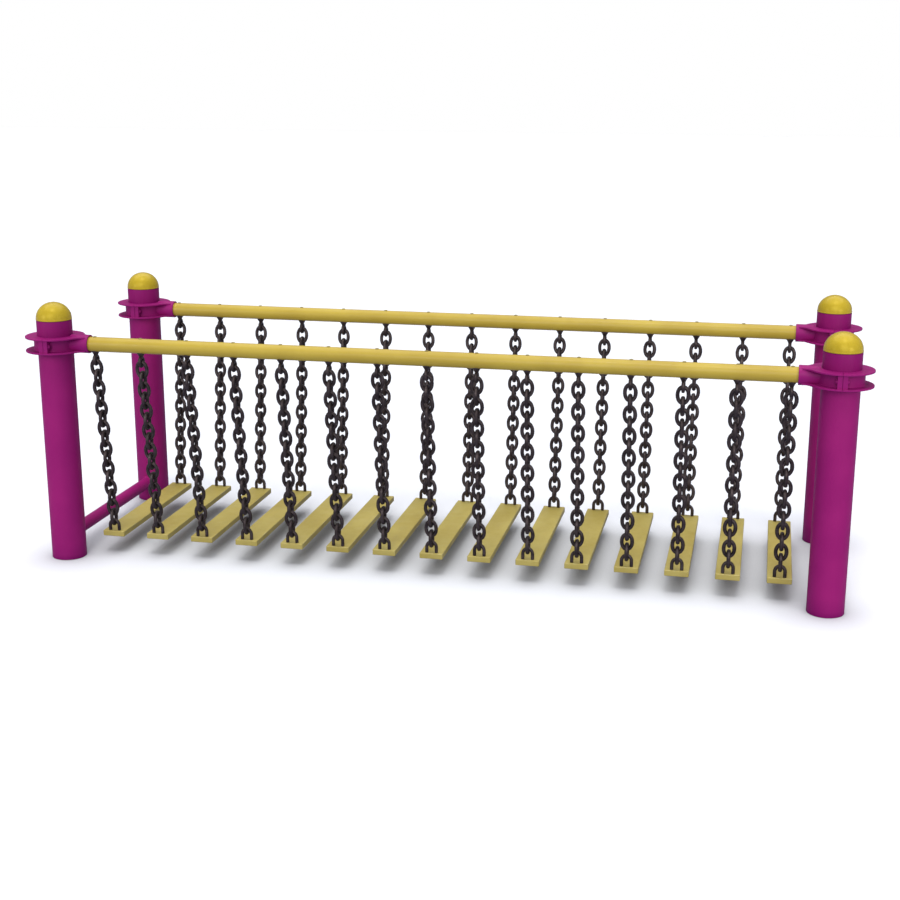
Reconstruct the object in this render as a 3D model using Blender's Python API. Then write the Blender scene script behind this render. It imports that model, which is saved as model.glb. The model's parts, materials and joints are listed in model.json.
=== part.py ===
"""Playground footbridge of fifteen planks hung on chains, in metres, +Z up.

Four round posts stand in two welded end frames. Clamps near the post tops carry two hand
rails along X, and each plank hangs from eyes under both rails on a pair of chains. A plank
and its two chains swing together, lengthwise, about the bottoms of those eyes.
The origin is on the ground, in the middle of the bridge.
"""

import math

import bmesh
import bpy
from mathutils import Matrix, Vector

# Clearance between pieces that touch, and the angle past which an edge is drawn sharp
SEAT_GAP = 0.0003
SHARP_ANGLE = math.radians(35)

# Posts and the low cross bar of an end frame
POST_SPACING_X = 2.492
POST_SPACING_Y = 0.712
POST_RADIUS = 0.057
POST_WALL = 0.003
POST_HEIGHT = 0.809
POST_FLOOR = 0.006
POST_SIDES = 24
BAR_RADIUS = 0.021
BAR_HEIGHT = 0.0715
BAR_SIDES = 16

# Dome caps
CAP_DOME_HEIGHT = 0.0565
CAP_SPIGOT_LENGTH = 0.030
CAP_DOME_STEPS = 4

# Hand rails
RAIL_HEIGHT = 0.732
RAIL_RADIUS = 0.024
RAIL_WALL = 0.003
RAIL_SIDES = 20

# Clamps, turned about the post and reaching inward as a socket for the rail
CLAMP_FLANGE_RADIUS = 0.095
CLAMP_WALL_RADIUS = 0.068
CLAMP_HALF_HEIGHT = 0.025
CLAMP_FLANGE_THICKNESS = 0.005
CLAMP_LUG_WIDTH = 0.030
CLAMP_LUG_REACH = 0.088
SOCKET_RADIUS = 0.030
SOCKET_REACH = 0.123
SOCKET_FLOOR_RADIUS = 0.074

# Planks
PLANK_COUNT = 15
PLANK_SPACING = 0.158
PLANK_WIDTH = 0.0766
PLANK_LENGTH = 0.607
PLANK_TOP = 0.0785
PLANK_THICKNESS = 0.0192

# Chains, with the wire that the links, the eyes and the plank's arches share
WIRE_DIAMETER = 0.0095
WIRE_SIDES = 6
LINK_WIDTH = 0.045
LINK_COUNT = 16
LINK_FLAT_HALF = 0.011
LINK_END_WIDTH = 0.025
LINK_END_TAPER = 0.0082
PIN_HEIGHT = 0.6665
ARCH_WIDTH = 0.040
ARCH_INSET = 0.0115
ARCH_RISE = 0.041
ARCH_DEPTH_IN_PLANK = 0.006

# Eyes under the rails, each a ring in a collar whose root is sunk in the tube
EYE_OUTER_DIAMETER = 0.038
EYE_FLAT_HALF = 0.008
COLLAR_TOP_RADIUS = 0.013
COLLAR_BOTTOM_RADIUS = 0.0065
COLLAR_HEIGHT = 0.011
COLLAR_ROOT = 0.006
COLLAR_SIDES = 6

# Places worked out from the sizes above
POST_X = POST_SPACING_X / 2
POST_Y = POST_SPACING_Y / 2
WIRE_RADIUS = WIRE_DIAMETER / 2
ARCH_Y = PLANK_LENGTH / 2 - ARCH_INSET
ARCH_TOP = PLANK_TOP + ARCH_RISE
ARCH_BEND_RADIUS = ARCH_WIDTH / 2 - WIRE_RADIUS
CHAIN_DROP = PIN_HEIGHT - (ARCH_TOP - WIRE_RADIUS)
CHAIN_SHIFT = POST_Y - ARCH_Y
CHAIN_LEAN = math.atan2(CHAIN_SHIFT, CHAIN_DROP)
CHAIN_SPAN = math.hypot(CHAIN_DROP, CHAIN_SHIFT)
LINK_PITCH = (CHAIN_SPAN + WIRE_DIAMETER) / LINK_COUNT
EYE_BEND_RADIUS = (EYE_OUTER_DIAMETER - WIRE_DIAMETER) / 2
OCTAGON_HALF_STEP = math.pi / 8

# From a wire's middle to the far side of the link that bears on it
LINK_OVERREACH = 1.5 * WIRE_DIAMETER

PURPLE = (0.33, 0.02, 0.16)
YELLOW = (0.68, 0.48, 0.06)
DARK_STEEL = (0.02, 0.018, 0.022)


def clear_scene():
    """Remove whatever the scene holds."""
    for existing in list(bpy.data.objects):
        bpy.data.objects.remove(existing, do_unlink=True)


def make_material(name, colour, roughness, metallic):
    """Return a Principled material."""
    material = bpy.data.materials.new(name)
    material.use_nodes = True
    shader = material.node_tree.nodes["Principled BSDF"]
    shader.inputs["Base Color"].default_value = (*colour, 1.0)
    shader.inputs["Roughness"].default_value = roughness
    shader.inputs["Metallic"].default_value = metallic
    return material


def make_axis(name, location):
    """Add an empty that marks the axis of one swinging plank."""
    empty = bpy.data.objects.new(name, None)
    empty.empty_display_size = 0.05
    empty.location = location
    bpy.context.collection.objects.link(empty)
    return empty


def place(name, mesh, material, location=(0, 0, 0), rotation=(0, 0, 0), parent=None):
    """Add one named piece of the bridge, in its parent's frame."""
    piece = bpy.data.objects.new(name, mesh)
    piece.location = location
    piece.rotation_euler = rotation
    piece.parent = parent
    if not mesh.materials:
        mesh.materials.append(material)
    bpy.context.collection.objects.link(piece)
    return piece


def finish_mesh(bm, name):
    """Turn a bmesh into a mesh with outward faces, smooth over gentle edges."""
    bmesh.ops.recalc_face_normals(bm, faces=bm.faces)
    mesh = bpy.data.meshes.new(name)
    bm.to_mesh(mesh)
    bm.free()
    mesh.shade_smooth()
    mesh.set_sharp_from_angle(angle=SHARP_ANGLE)
    return mesh


def boolean(base, tools, operation):
    """Return base joined with, or cut by, each of the tool meshes."""
    target = place("boolean_target", base, None)
    helpers = [target]
    for tool in tools:
        cutter = place("boolean_tool", tool, None)
        helpers.append(cutter)
        modifier = target.modifiers.new("boolean", "BOOLEAN")
        modifier.operation = operation
        modifier.object = cutter
    depsgraph = bpy.context.evaluated_depsgraph_get()
    mesh = bpy.data.meshes.new_from_object(target.evaluated_get(depsgraph))
    for helper in helpers:
        bpy.data.objects.remove(helper, do_unlink=True)
    mesh.shade_smooth()
    mesh.set_sharp_from_angle(angle=SHARP_ANGLE)
    mesh.materials.clear()
    return mesh


def join_loops(bm, first, second):
    """Face the band between two loops, of which either may be a single point."""
    sides = max(len(first), len(second))
    for i in range(sides):
        corners = [
            first[i % len(first)],
            first[(i + 1) % len(first)],
            second[(i + 1) % len(second)],
            second[i % len(second)],
        ]
        bm.faces.new(list(dict.fromkeys(corners)))


def turned(profile, sides, hollow=False):
    """Turn a profile of (radius, height) points about Z; a hollow one closes on itself."""
    bm = bmesh.new()
    loops = []
    for radius, height in profile:
        if radius == 0:
            loops.append([bm.verts.new((0, 0, height))])
            continue
        angles = [2 * math.pi * i / sides for i in range(sides)]
        loops.append([bm.verts.new((radius * math.cos(a), radius * math.sin(a), height)) for a in angles])
    for first, second in zip(loops, loops[1:]):
        join_loops(bm, first, second)
    if hollow:
        join_loops(bm, loops[-1], loops[0])
    return finish_mesh(bm, "turned")


def rod(radius, start, end, sides, end_radius=None):
    """Return a round rod, or a cone, between two points."""
    start = Vector(start)
    along = Vector(end) - start
    bm = bmesh.new()
    bmesh.ops.create_cone(
        bm,
        cap_ends=True,
        segments=sides,
        radius1=radius,
        radius2=radius if end_radius is None else end_radius,
        depth=along.length,
    )
    bmesh.ops.rotate(bm, verts=bm.verts, matrix=along.to_track_quat("Z", "Y").to_matrix())
    bmesh.ops.translate(bm, verts=bm.verts, vec=start + along / 2)
    return finish_mesh(bm, "rod")


def box(low, high):
    """Return a box between two corners."""
    low = Vector(low)
    high = Vector(high)
    bm = bmesh.new()
    bmesh.ops.create_cube(bm, size=1.0)
    bmesh.ops.scale(bm, verts=bm.verts, vec=high - low)
    bmesh.ops.translate(bm, verts=bm.verts, vec=(low + high) / 2)
    return finish_mesh(bm, "box")


def bent_wire(points, plane_normal, closed):
    """Sweep the chain's wire along a flat path, with mitred bends."""
    points = [Vector(point) for point in points]
    plane_normal = Vector(plane_normal)
    count = len(points)
    bm = bmesh.new()
    loops = []
    for i, point in enumerate(points):
        before = points[i - 1] if closed or i > 0 else point
        after = points[(i + 1) % count] if closed or i < count - 1 else point
        arriving = (point - before).normalized() if before != point else (after - point).normalized()
        leaving = (after - point).normalized() if after != point else arriving
        tangent = (arriving + leaving).normalized()
        across = plane_normal.cross(tangent)
        stretch = 1 / tangent.dot(leaving)
        loop = []
        for j in range(WIRE_SIDES):
            angle = 2 * math.pi * j / WIRE_SIDES
            offset = across * math.cos(angle) * stretch + plane_normal * math.sin(angle)
            loop.append(bm.verts.new(point + offset * WIRE_RADIUS))
        loops.append(loop)
    for first, second in zip(loops, loops[1:]):
        join_loops(bm, first, second)
    if closed:
        join_loops(bm, loops[-1], loops[0])
    else:
        bm.faces.new(loops[0])
        bm.faces.new(loops[-1])
    return finish_mesh(bm, "bent_wire")


def octagon_corner(bend_radius, index):
    """Return one corner, as (across, up), of an octagon about a bend, flat at its top."""
    angle = OCTAGON_HALF_STEP * (1 + 2 * index)
    reach = bend_radius / math.cos(OCTAGON_HALF_STEP)
    return reach * math.cos(angle), reach * math.sin(angle)


def end_frame_mesh():
    """Return two hollow posts with closed feet, welded to the low cross bar."""
    bore = POST_RADIUS - POST_WALL
    middle_of_wall = POST_RADIUS - POST_WALL / 2
    post_profile = [
        (0, 0),
        (POST_RADIUS, 0),
        (POST_RADIUS, POST_HEIGHT),
        (bore, POST_HEIGHT),
        (bore, POST_FLOOR),
        (0, POST_FLOOR),
    ]
    cope_profile = [(0, 0), (middle_of_wall, 0), (middle_of_wall, POST_HEIGHT), (0, POST_HEIGHT)]
    bar = rod(BAR_RADIUS, (0, -POST_Y, BAR_HEIGHT), (0, POST_Y, BAR_HEIGHT), BAR_SIDES)
    copes = []
    posts = []
    for y in (-POST_Y, POST_Y):
        cope = turned(cope_profile, POST_SIDES)
        cope.transform(Matrix.Translation((0, y, 0)))
        copes.append(cope)
        post = turned(post_profile, POST_SIDES)
        post.transform(Matrix.Translation((0, y, 0)))
        posts.append(post)
    return boolean(boolean(bar, copes, "DIFFERENCE"), posts, "UNION")


def cap_mesh():
    """Return a dome cap, from the post's top edge up, with a spigot down into the post."""
    spigot_radius = POST_RADIUS - POST_WALL - SEAT_GAP
    profile = [(0, -CAP_SPIGOT_LENGTH), (spigot_radius, -CAP_SPIGOT_LENGTH), (spigot_radius, 0)]
    for step in range(CAP_DOME_STEPS):
        angle = math.pi / 2 * step / CAP_DOME_STEPS
        profile.append((POST_RADIUS * math.cos(angle), CAP_DOME_HEIGHT * math.sin(angle)))
    profile.append((0, CAP_DOME_HEIGHT))
    return turned(profile, POST_SIDES)


def clamp_mesh():
    """Return a clamp about a post at the origin, whose socket reaches towards +X."""
    bore = POST_RADIUS + SEAT_GAP
    web = CLAMP_HALF_HEIGHT - CLAMP_FLANGE_THICKNESS
    profile = [
        (bore, -CLAMP_HALF_HEIGHT),
        (CLAMP_FLANGE_RADIUS, -CLAMP_HALF_HEIGHT),
        (CLAMP_FLANGE_RADIUS, -web),
        (CLAMP_WALL_RADIUS, -web),
        (CLAMP_WALL_RADIUS, web),
        (CLAMP_FLANGE_RADIUS, web),
        (CLAMP_FLANGE_RADIUS, CLAMP_HALF_HEIGHT),
        (bore, CLAMP_HALF_HEIGHT),
    ]
    ring = turned(profile, POST_SIDES, hollow=True)
    socket_start = POST_RADIUS + POST_WALL
    additions = [rod(SOCKET_RADIUS, (socket_start, 0, 0), (SOCKET_REACH, 0, 0), RAIL_SIDES)]
    lug_root = CLAMP_WALL_RADIUS - POST_WALL
    lug_half = CLAMP_LUG_WIDTH / 2
    lug_top = web + CLAMP_FLANGE_THICKNESS / 2
    for side in (-1, 1):
        ends = sorted((side * lug_root, side * CLAMP_LUG_REACH))
        additions.append(box((-lug_half, ends[0], -lug_top), (lug_half, ends[1], lug_top)))
    rail_bore = rod(
        RAIL_RADIUS + SEAT_GAP,
        (SOCKET_FLOOR_RADIUS, 0, 0),
        (SOCKET_REACH + POST_WALL, 0, 0),
        RAIL_SIDES,
    )
    return boolean(boolean(ring, additions, "UNION"), [rail_bore], "DIFFERENCE")


def eye_mesh(x):
    """Return the eye under a rail, a ring in a flared collar, at one place along the rail."""
    ring_centre = PIN_HEIGHT + EYE_BEND_RADIUS - RAIL_HEIGHT
    wide = EYE_BEND_RADIUS
    flat = EYE_FLAT_HALF
    corners = [(flat, -wide), (wide, -flat), (wide, flat), (flat, wide)]
    corners += [(-across, -up) for across, up in corners]
    ring = bent_wire([(x, across, ring_centre + up) for across, up in corners], (1, 0, 0), closed=True)
    flare = (COLLAR_TOP_RADIUS - COLLAR_BOTTOM_RADIUS) / COLLAR_HEIGHT
    collar = rod(
        COLLAR_BOTTOM_RADIUS,
        (x, 0, -RAIL_RADIUS - COLLAR_HEIGHT),
        (x, 0, -RAIL_RADIUS + COLLAR_ROOT),
        COLLAR_SIDES,
        end_radius=COLLAR_TOP_RADIUS + flare * COLLAR_ROOT,
    )
    return boolean(collar, [ring], "UNION")


def rail_mesh():
    """Return a hand rail tube along X with its fifteen eyes, about its own axis."""
    half_length = POST_X - SOCKET_FLOOR_RADIUS - SEAT_GAP
    solid = rod(RAIL_RADIUS, (-half_length, 0, 0), (half_length, 0, 0), RAIL_SIDES)
    eyes = [eye_mesh(plank_x(i)) for i in range(PLANK_COUNT)]
    bore_end = half_length + RAIL_WALL
    bore = rod(RAIL_RADIUS - RAIL_WALL, (-bore_end, 0, 0), (bore_end, 0, 0), RAIL_SIDES)
    return boolean(boolean(solid, eyes, "UNION"), [bore], "DIFFERENCE")


def plank_mesh():
    """Return a plank with an arch near each end, with its top middle at the origin."""
    board = box(
        (-PLANK_WIDTH / 2, -PLANK_LENGTH / 2, -PLANK_THICKNESS),
        (PLANK_WIDTH / 2, PLANK_LENGTH / 2, 0),
    )
    bend_centre = ARCH_RISE - WIRE_RADIUS - ARCH_BEND_RADIUS
    arches = []
    for y in (-ARCH_Y, ARCH_Y):
        path = [(ARCH_BEND_RADIUS, y, -ARCH_DEPTH_IN_PLANK)]
        for i in range(4):
            across, up = octagon_corner(ARCH_BEND_RADIUS, i)
            path.append((across, y, bend_centre + up))
        path.append((-ARCH_BEND_RADIUS, y, -ARCH_DEPTH_IN_PLANK))
        arches.append(bent_wire(path, (0, 1, 0), closed=False))
    return boolean(board, arches, "UNION")


def link_centre(index):
    """Return how far below the pin a link's middle is, along the chain."""
    return (LINK_PITCH - WIRE_DIAMETER) / 2 + index * LINK_PITCH


def chain_mesh():
    """Return a chain that hangs down -Z from the pin at the origin.

    Its links lie along X and Y in turn. Each is a solid of the link's outline, and only the
    top link is open, about the eye, and the bottom one, about the plank's arch.
    """
    wide = LINK_WIDTH / 2
    last = LINK_COUNT - 1
    top = -LINK_OVERREACH
    bottom = link_centre(last) + LINK_PITCH / 2 + WIRE_DIAMETER
    sections = [(top, LINK_END_WIDTH / 2, WIRE_RADIUS), (top + LINK_END_TAPER, wide, WIRE_RADIUS)]
    for index in range(LINK_COUNT):
        half_sizes = (wide, WIRE_RADIUS) if index % 2 == 0 else (WIRE_RADIUS, wide)
        if index > 0:
            sections.append((link_centre(index) - LINK_FLAT_HALF, *half_sizes))
        if index < last:
            sections.append((link_centre(index) + LINK_FLAT_HALF, *half_sizes))
    sections.append((bottom - LINK_END_TAPER, WIRE_RADIUS, wide))
    sections.append((bottom, WIRE_RADIUS, LINK_END_WIDTH / 2))
    bm = bmesh.new()
    loops = []
    for down, half_x, half_y in sections:
        corners = [(half_x, half_y), (-half_x, half_y), (-half_x, -half_y), (half_x, -half_y)]
        loops.append([bm.verts.new((x, y, -down)) for x, y in corners])
    for first, second in zip(loops, loops[1:]):
        join_loops(bm, first, second)
    bm.faces.new(loops[0])
    bm.faces.new(loops[-1])
    links = finish_mesh(bm, "links")
    return boolean(links, [top_hole(), bottom_hole()], "DIFFERENCE")


def top_hole():
    """Return the opening of the top link, which clears the eye as the chain leans and swings."""
    half_width = LINK_WIDTH / 2 - WIRE_DIAMETER
    lean_rise = WIRE_RADIUS * math.tan(CHAIN_LEAN)
    above_pin = WIRE_RADIUS + lean_rise + SEAT_GAP
    next_link_top = LINK_PITCH - LINK_OVERREACH
    return box((-half_width, -LINK_WIDTH, -next_link_top), (half_width, LINK_WIDTH, above_pin))


def bottom_hole():
    """Return the opening of the bottom link, whose lower edge bears on the plank's arch."""
    half_width = LINK_WIDTH / 2 - WIRE_DIAMETER
    middle = link_centre(LINK_COUNT - 1)
    link_above_end = middle - LINK_PITCH / 2 + WIRE_DIAMETER
    inner_end = middle + LINK_PITCH / 2 + SEAT_GAP
    return box((-LINK_WIDTH, -half_width, -inner_end), (LINK_WIDTH, half_width, -link_above_end))


def plank_x(index):
    """Return where along the bridge a plank hangs."""
    return (index - (PLANK_COUNT - 1) / 2) * PLANK_SPACING


def build_ends(purple, yellow):
    """Place the end frames, and the cap and clamp of each post."""
    frame = end_frame_mesh()
    cap = cap_mesh()
    clamp = clamp_mesh()
    for end, x, turn in (("left", -POST_X, 0), ("right", POST_X, math.pi)):
        place(f"end_frame_{end}", frame, purple, (x, 0, 0), (0, 0, turn))
        for row, y in (("front", -POST_Y), ("back", POST_Y)):
            place(f"cap_{row}_{end}", cap, yellow, (x, y, POST_HEIGHT + SEAT_GAP))
            place(f"clamp_{row}_{end}", clamp, purple, (x, y, RAIL_HEIGHT), (0, 0, turn))


def build_rails(yellow):
    """Place the two hand rails."""
    rail = rail_mesh()
    for row, y in (("front", -POST_Y), ("back", POST_Y)):
        place(f"rail_{row}", rail, yellow, (0, y, RAIL_HEIGHT))


def build_planks(yellow, dark_steel):
    """Hang each plank on its two chains, all three under the empty on their swing axis."""
    plank = plank_mesh()
    chain = chain_mesh()
    for index in range(PLANK_COUNT):
        number = f"{index + 1:02d}"
        axis = make_axis(f"swing_axis_{number}", (plank_x(index), 0, PIN_HEIGHT))
        place(f"plank_{number}", plank, yellow, (0, 0, PLANK_TOP - PIN_HEIGHT), parent=axis)
        for row, side in (("front", -1), ("back", 1)):
            location = (0, side * POST_Y, 0)
            rotation = (-side * CHAIN_LEAN, 0, 0)
            place(f"chain_{row}_{number}", chain, dark_steel, location, rotation, axis)


def main():
    """Build the bridge."""
    clear_scene()
    purple = make_material("purple_powder_coat", PURPLE, 0.35, 0.0)
    yellow = make_material("yellow_powder_coat", YELLOW, 0.4, 0.0)
    dark_steel = make_material("dark_steel", DARK_STEEL, 0.45, 0.8)
    build_ends(purple, yellow)
    build_rails(yellow)
    build_planks(yellow, dark_steel)


main()
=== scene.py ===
"""Looks of the playground chain footbridge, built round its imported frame, in metres, +Z up.

Every piece takes its place from the frame: posts, clamps, caps and rails from their nodes'
boxes, and planks and chains from the joints that they swing about.
"""

import json
import math

import bmesh
import bpy
import numpy as np
from mathutils import Matrix, Vector


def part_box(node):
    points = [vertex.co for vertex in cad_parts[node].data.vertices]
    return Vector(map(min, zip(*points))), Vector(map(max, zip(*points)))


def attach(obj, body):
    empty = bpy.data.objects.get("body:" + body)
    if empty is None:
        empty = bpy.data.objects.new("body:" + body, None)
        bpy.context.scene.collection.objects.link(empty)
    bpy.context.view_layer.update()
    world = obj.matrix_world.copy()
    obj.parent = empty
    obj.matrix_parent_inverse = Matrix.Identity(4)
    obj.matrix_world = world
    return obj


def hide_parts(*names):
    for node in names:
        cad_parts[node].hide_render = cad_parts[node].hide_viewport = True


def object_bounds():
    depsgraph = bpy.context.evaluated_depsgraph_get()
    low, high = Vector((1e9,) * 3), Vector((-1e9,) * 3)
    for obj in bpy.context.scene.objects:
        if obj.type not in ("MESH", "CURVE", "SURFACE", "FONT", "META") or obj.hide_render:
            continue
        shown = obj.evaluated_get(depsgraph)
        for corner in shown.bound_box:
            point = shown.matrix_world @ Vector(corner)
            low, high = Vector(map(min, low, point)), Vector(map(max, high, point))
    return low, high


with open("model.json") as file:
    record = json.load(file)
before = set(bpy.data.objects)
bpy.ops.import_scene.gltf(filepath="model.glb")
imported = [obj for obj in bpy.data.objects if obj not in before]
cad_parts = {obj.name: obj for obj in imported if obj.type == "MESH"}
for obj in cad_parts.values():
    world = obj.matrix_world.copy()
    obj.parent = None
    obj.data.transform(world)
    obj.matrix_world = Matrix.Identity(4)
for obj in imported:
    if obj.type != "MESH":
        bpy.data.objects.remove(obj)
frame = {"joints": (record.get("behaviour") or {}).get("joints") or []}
cad_low, cad_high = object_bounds()

# Fineness of the meshes
SMOOTH_ANGLE = math.radians(32)
POST_SIDES = 72
RAIL_SIDES = 48
FINE_SIDES = 32
LINK_STEPS = 36
WIRE_SIDES = 12
ROUND_STEPS = 4
DOME_STEPS = 2 * ROUND_STEPS

# A quarter turn, the profile of a round bevel, and the limit on an inset's pull at sharp corners
QUARTER = math.pi / 2
ROUND_PROFILE = 0.5
MITRE_LIMIT = 0.5

# Posts and cross bars; each step of painted shade is a height above the ground or the clamp, with
# its depth
POST_EDGE = 0.0012
# Painted contact shade at the posts' feet
FOOT_PAINTED_SHADE = ((0.004, 0.9), (0.018, 0.35), (0.06, 0.0))
# Painted shade on the posts' stubs, between the clamp and the cap
STUB_PAINTED_SHADE = ((0.0, 1.0), (0.008, 0.8), (0.022, 0.55))
BAR_RADIUS = 0.021
BAR_HEIGHT = 0.0715
WELD_RADIUS = 0.0042
WELD_RIPPLE = 0.0005
WELD_RIPPLES = 22
WELD_STEPS = 132
WELD_SIDES = 8

# Caps
CAP_SEAM = 0.0008
CAP_LIP_HEIGHT = 0.004
CAP_LIP_STAND = 0.0006
CAP_STEPS = 20

# Clamps
CLAMP_HALF_HEIGHT = 0.025
CLAMP_FLANGE = 0.005
CLAMP_WALL_RADIUS = 0.068
CLAMP_EDGE = 0.0009
CLAMP_FILLET = 0.004
CLAMP_SPLIT = 0.0006
CLAMP_OVERLAP = 0.002
CLAMP_LUG_HALF = 0.015
CLAMP_LUG_REACH = 0.088
CLAMP_LUG_EDGE = 0.0012
CLAMP_STEPS = 40
SOCKET_RADIUS = 0.030
SOCKET_WALL = 0.0052
SOCKET_EDGE = 0.0012
SOCKET_ROOT = 0.060
GUSSET_START = math.radians(42)
GUSSET_REACH = 0.113
GUSSET_HALF_WIDTH = 0.024
GUSSET_PULL = 0.022
GUSSET_STEPS = 12
CLAMP_BOLT_OFFSET = 0.0765

# Fastenings
BOLT_HEAD_RADIUS = 0.0068
BOLT_HEAD_HEIGHT = 0.0042
BOLT_KEY_RADIUS = 0.0032
BOLT_KEY_DEPTH = 0.0026
WASHER_RADIUS = 0.0088
WASHER_THICKNESS = 0.0012
WASHER_EDGE = 0.0004
STUD_RADIUS = 0.0062
STUD_RISE = 0.0026
RAIL_WALL = 0.003
LEG_HEAD_RADIUS = 0.0074
LEG_HEAD_RISE = 0.0016

# Chains, eyes and arches; the frame's wires are a little thinner than the ones seen. How far the
# wear reaches is given in radii of the wire, and the end of an arch's legs in plank thicknesses.
FRAME_WIRE_RADIUS = 0.00475
WIRE_RADIUS = 0.0056
LINK_WIRE_RADIUS = 0.006
LINK_CROWN_RADIUS = 0.007
LINK_COUNT = 16
LINK_WELD = 0.0003
LINK_WELD_ANGLE = 0.35
LINK_FULLNESS = 2.12
LINK_CROWN_POWER = 4
LINK_WEAR_REACH = 1.6
EYE_RADIUS = 0.01425
EYE_STEPS = 40
EYE_WEAR_HEIGHT = 1.5
WIRE_WEAR_REACH = 2
COLLAR_TOP_RADIUS = 0.013
COLLAR_BOTTOM_RADIUS = 0.0062
COLLAR_HEIGHT = 0.0125
COLLAR_ROOT = 0.0065
COLLAR_FLARE = 1.3
COLLAR_STEPS = 8
ARCH_INSET = 0.0115
ARCH_HALF_WIDTH = 0.0158
ARCH_CURVE_HEIGHT = 0.019
ARCH_STEPS = 24
ARCH_LEG_END = 0.25

# Planks
PLANK_THICKNESS = 0.0192
PLANK_EDGE = 0.0028
EDGE_SETBACK = 1 - math.sqrt(0.5)

# The camera, fitted to the photograph
CAMERA_PLACE = Vector((1.0141, -4.7059, 1.6188))
CAMERA_YAW = 0.2127
CAMERA_PITCH = 0.2582
CAMERA_ROLL = 0.0013
CAMERA_FOCUS_PIXELS = 1467.0
IMAGE_PIXELS = 900
SENSOR_WIDTH = 36.0

# The world, the floor and the lights. Each soft box has its place, aim, size and power, and each
# sun its direction, strength and softness.
WORLD_LIGHT = 0.22
WORLD_COLOUR = (0.8, 0.89, 1.2, 1.0)
FLOOR_SIZE = 60.0
FLOOR_BOUNCE = (0.28, 0.3, 0.41, 1.0)
FLOOR_SHADE = (0.2, 0.2, 0.21, 1.0)
FLOOR_SHADE_REACH = 0.16
SOFT_BOXES = (
    ("left_box", (-4.0, -3.4, 1.7), (-1.1, 0, 0.4), 1.6, 5),
    ("right_box", (4.3, -3.4, 1.7), (1.1, 0, 0.4), 1.6, 7),
)
BOX_SPREAD = math.radians(60)
SUNS = (
    ("overhead", (-0.05, 0.15, 1.0), 2.25, math.radians(80)),
    ("glint", (0.05, -0.3, 1.0), 0.45, math.radians(16)),
    ("front_fill", (0.0, -1.0, 0.45), 1.2, math.radians(40)),
)

WHITE = (1.0, 1.0, 1.0, 1.0)

# Tones as the eye sees them, from 0 to 255; a noise mixes the two of a pair
POST_TONES = ((163, 29, 112), (154, 24, 107))
# The deep purple of the painted shade at the posts' feet and on their stubs
POST_PAINTED_SHADE = (124, 6, 92)
CLAMP_TONES = ((158, 27, 112), (148, 22, 106))
RAIL_TONES = ((199, 172, 63), (188, 160, 56))
STUD_TONES = ((150, 134, 70), (134, 118, 62))
CAP_TONES = ((190, 163, 44), (199, 172, 51))
PLANK_TONES = ((174, 154, 70), (188, 170, 88))
PLANK_SCUFFED = (154, 138, 86)
PLANK_RUBBED = (206, 197, 142)
STEEL_TONES = ((54, 44, 43), (82, 71, 69))
STEEL_RUBBED = (120, 116, 118)
FLOOR_TONES = ((245, 246, 248), (247, 248, 250))

# Noises, each with its scale and its detail
COAT_CLOUD = (7.0, 3.0)
COAT_SPECKLE = (900.0, 1.0)
COAT_SCUFFS = (38.0, 6.0)
COAT_PEEL = (260.0, 1.0)
# Patches in the posts' painted shade
PAINTED_SHADE_PATCHES = (24.0, 4.0)
CAP_CLOUD = (14.0, 3.0)
CAP_SCUFFS = (60.0, 5.0)
CAP_RIPPLES = (120.0, 1.0)
PLANK_CLOUD = (9.0, 4.0)
PLANK_SCUFFS = (30.0, 8.0)
PLANK_CHIPS = (70.0, 8.0)
PLANK_SHEEN = (24.0, 6.0)
PLANK_RIPPLES = (18.0, 2.0)
PLANK_GRAIN_SCALE = 420.0
STEEL_CLOUD = (55.0, 4.0)
STEEL_PATCHES = (240.0, 3.0)
STEEL_SCUFFS = (90.0, 5.0)
STEEL_PITS = (300.0, 3.0)
FLOOR_CLOUD = (0.8, 2.0)

# The parts of a noise's values that are spread over a whole range
SOFT_SPREAD = (0.35, 0.65)
SCUFF_SPREAD = (0.35, 0.7)
FLOOR_SPREAD = (0.3, 0.7)
PLANK_SCUFF_SPREAD = (0.56, 0.75)
PLANK_CHIP_SPREAD = (0.42, 0.62)
PLANK_RUB_SPREAD = (0.2, 0.7)
PLANK_GRAIN_SPREAD = (0.0, 0.6)
STEEL_RUB_SPREAD = (0.3, 0.6)

# How much speckles, scuffs and rubbed places take on their own tones, and how evenly the posts'
# painted shade darkens
SPECKLE_DEPTH = 0.10
PLANK_SCUFF_DEPTH = 0.22
PLANK_RUB_DEPTH = 0.6
STEEL_RUB_DEPTH = 0.8
PAINTED_SHADE_EVENNESS = (0.8, 1.0)

# Stretches of noises along the planks
PLANK_STRETCH = (1, 0.5, 1)
SCUFF_STRETCH = (1, 0.3, 1)

# Finishes; each powder coat's roughness ranges between two steps from its own value
MATT = {"roughness": 0.48, "clear_coat": 0.02, "gloss": 0.15}
SATIN = {"roughness": 0.38, "clear_coat": 0.1, "gloss": 0.3}
DULL = {"roughness": 0.42, "clear_coat": 0.05, "gloss": 0.3}
COAT_ROUGHNESS_STEPS = (-0.05, 0.09)
CLEAR_COAT_ROUGHNESS = 0.12
CAP_ROUGHNESS = (0.26, 0.32)
CAP_GLOSS = 0.5
CAP_SHEEN = (1.0, 0.75, 0.1, 1.0)
CAP_CLEAR_COAT = 0.05
CAP_CLEAR_COAT_ROUGHNESS = 0.2
CAP_GLOW = 0.06
CAP_GLOW_REACH = (0.004, 0.003, 0.001)
PLANK_ROUGHNESS = (0.42, 0.6)
STEEL_ROUGHNESS = (0.34, 0.55)
STEEL_METALLIC = 0.65
FLOOR_ROUGHNESS = 0.6
FLOOR_GLOSS = 0.0

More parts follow.
